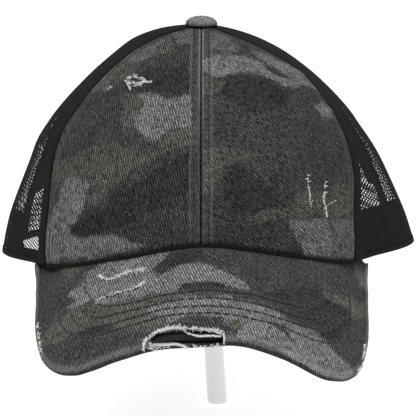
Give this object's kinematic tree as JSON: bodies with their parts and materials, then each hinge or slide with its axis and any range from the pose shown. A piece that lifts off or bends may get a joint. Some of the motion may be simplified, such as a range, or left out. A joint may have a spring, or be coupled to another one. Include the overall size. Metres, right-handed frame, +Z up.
{
  "type": "ponytail baseball cap on a display stand",
  "caption": "Washed camouflage baseball cap with mesh back, frayed peak and arched ponytail opening, on a plain pole stand.",
  "frame": {"origin": "middle of the underside of the stand's base, where it stands on a table", "axes": "+Z up, -Y the way the peak points, +X to the right seen from the front"},
  "size_m": [0.2117, 0.231, 0.2072],
  "materials": {
    "washed_twill": "washed cotton twill in grey and olive camouflage, worn white at the frays",
    "black_mesh": "open knitted polyester net",
    "black_tape": "woven black tape",
    "black_board": "smooth matt sheet",
    "white_lacquer": "satin white lacquer on steel"
  },
  "bodies": {
    "root": {"front_panel_left": "washed_twill", "front_panel_right": "washed_twill", "side_mesh_left": "black_mesh", "side_mesh_right": "black_mesh", "back_mesh_left": "black_mesh", "back_mesh_right": "black_mesh", "opening_binding": "black_tape", "sweatband": "black_tape", "back_strap": "black_tape", "seam_tape_front_left": "black_tape", "seam_tape_front_right": "black_tape", "seam_tape_back_left": "black_tape", "seam_tape_back_right": "black_tape", "peak_cover": "washed_twill", "peak_board": "black_board", "top_button": "washed_twill", "stand_rest": "white_lacquer", "stand_pole": "white_lacquer", "stand_base": "white_lacquer"}
  },
  "joints": []
}
